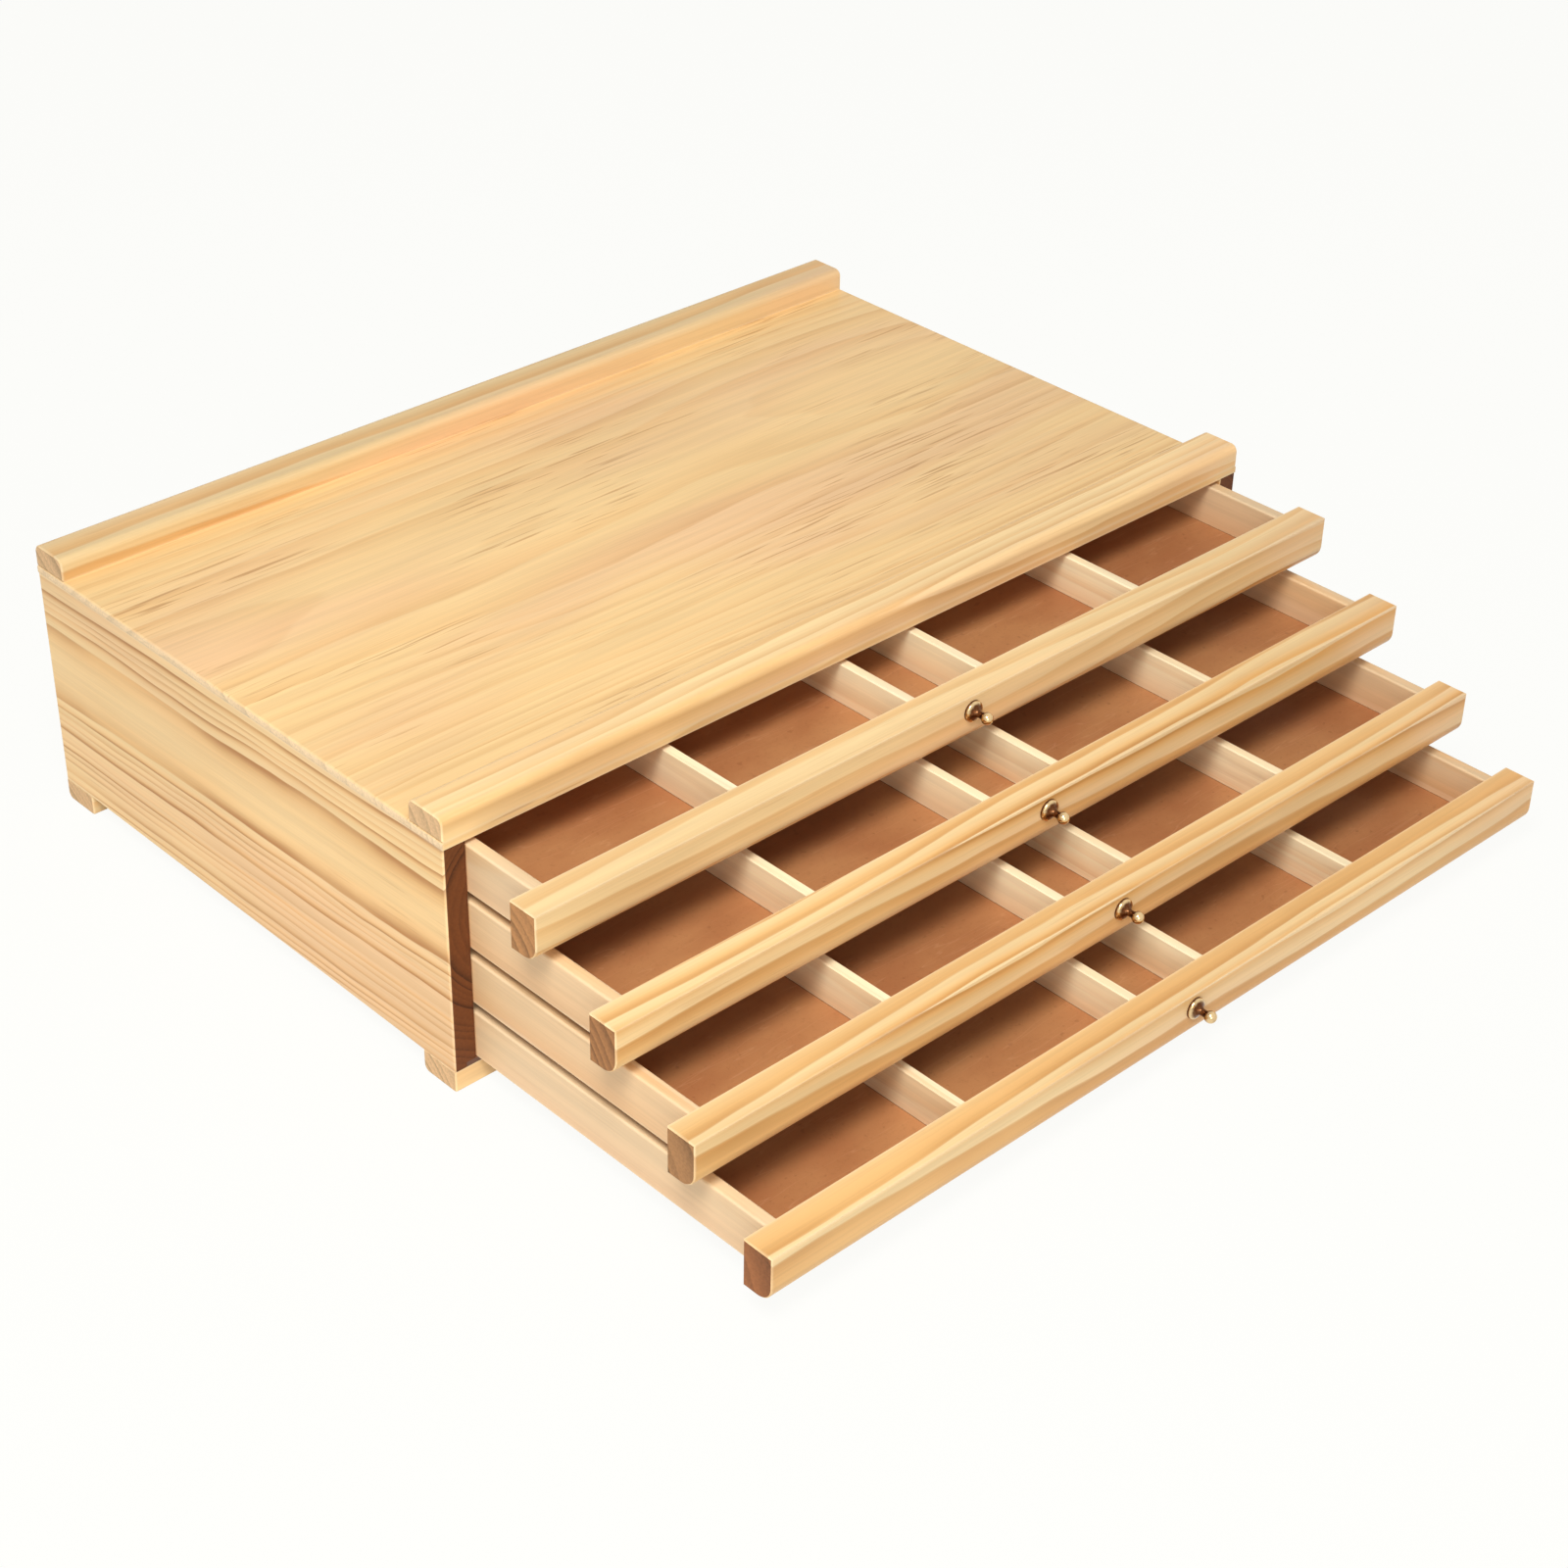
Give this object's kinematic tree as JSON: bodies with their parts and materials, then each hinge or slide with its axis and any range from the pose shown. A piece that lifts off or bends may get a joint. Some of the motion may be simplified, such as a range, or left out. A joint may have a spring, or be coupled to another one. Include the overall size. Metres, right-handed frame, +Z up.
{
  "type": "pencil drawer box",
  "caption": "Wooden desktop drawer box for pencils: shallow sliding drawers split by dividers, a brass knob on each front, a railed top and low foot rails.",
  "frame": {"origin": "middle of the front foot rail's underside, on the table", "axes": "+X to the right across the front, +Y from the drawer fronts to the back, +Z up; drawers slide out towards -Y"},
  "size_m": [0.4, 0.4128, 0.113],
  "materials": {
    "pine_side": "sanded pine boards, grain front to back, clear satin finish",
    "pine_top": "pine-faced sheet, grain along the width, clear satin finish",
    "pine_cross": "sanded pine, grain along the width, clear satin finish",
    "pine_long": "sanded pine, grain front to back, bare satin",
    "hardboard": "smooth brown hardboard",
    "brass": "polished turned brass, slightly aged",
    "screw_steel": "plated steel screw"
  },
  "bodies": {
    "cabinet": {"left_side_panel": "pine_side", "right_side_panel": "pine_side", "top_panel": "pine_top", "bottom_panel": "hardboard", "back_panel": "pine_cross", "front_top_rail": "pine_cross", "rear_top_rail": "pine_cross", "front_foot_rail": "pine_cross", "rear_foot_rail": "pine_cross", "left_runner_1": "pine_long", "right_runner_1": "pine_long", "left_runner_2": "pine_long", "right_runner_2": "pine_long", "left_runner_3": "pine_long", "right_runner_3": "pine_long"},
    "drawer_1": {"drawer_1_front": "pine_cross", "drawer_1_left_side": "pine_long", "drawer_1_right_side": "pine_long", "drawer_1_back": "pine_cross", "drawer_1_floor": "hardboard", "drawer_1_divider_1": "pine_long", "drawer_1_divider_2": "pine_long", "drawer_1_divider_3": "pine_long", "drawer_1_divider_4": "pine_long", "drawer_1_knob": "brass", "drawer_1_knob_screw": "screw_steel"},
    "drawer_2": {"drawer_2_front": "pine_cross", "drawer_2_left_side": "pine_long", "drawer_2_right_side": "pine_long", "drawer_2_back": "pine_cross", "drawer_2_floor": "hardboard", "drawer_2_divider_1": "pine_long", "drawer_2_divider_2": "pine_long", "drawer_2_divider_3": "pine_long", "drawer_2_divider_4": "pine_long", "drawer_2_knob": "brass", "drawer_2_knob_screw": "screw_steel"},
    "drawer_3": {"drawer_3_front": "pine_cross", "drawer_3_left_side": "pine_long", "drawer_3_right_side": "pine_long", "drawer_3_back": "pine_cross", "drawer_3_floor": "hardboard", "drawer_3_divider_1": "pine_long", "drawer_3_divider_2": "pine_long", "drawer_3_divider_3": "pine_long", "drawer_3_divider_4": "pine_long", "drawer_3_knob": "brass", "drawer_3_knob_screw": "screw_steel"},
    "drawer_4": {"drawer_4_front": "pine_cross", "drawer_4_left_side": "pine_long", "drawer_4_right_side": "pine_long", "drawer_4_back": "pine_cross", "drawer_4_floor": "hardboard", "drawer_4_divider_1": "pine_long", "drawer_4_divider_2": "pine_long", "drawer_4_divider_3": "pine_long", "drawer_4_divider_4": "pine_long", "drawer_4_knob": "brass", "drawer_4_knob_screw": "screw_steel"}
  },
  "joints": [
    {"name": "drawer_1_slide", "type": "slide", "parent": "cabinet", "child": "drawer_1", "axis": [0, -1, 0], "range_m": [-0.033, 0.157]},
    {"name": "drawer_2_slide", "type": "slide", "parent": "cabinet", "child": "drawer_2", "axis": [0, -1, 0], "range_m": [-0.0715, 0.1185]},
    {"name": "drawer_3_slide", "type": "slide", "parent": "cabinet", "child": "drawer_3", "axis": [0, -1, 0], "range_m": [-0.1085, 0.0815]},
    {"name": "drawer_4_slide", "type": "slide", "parent": "cabinet", "child": "drawer_4", "axis": [0, -1, 0], "range_m": [-0.144, 0.046]}
  ]
}
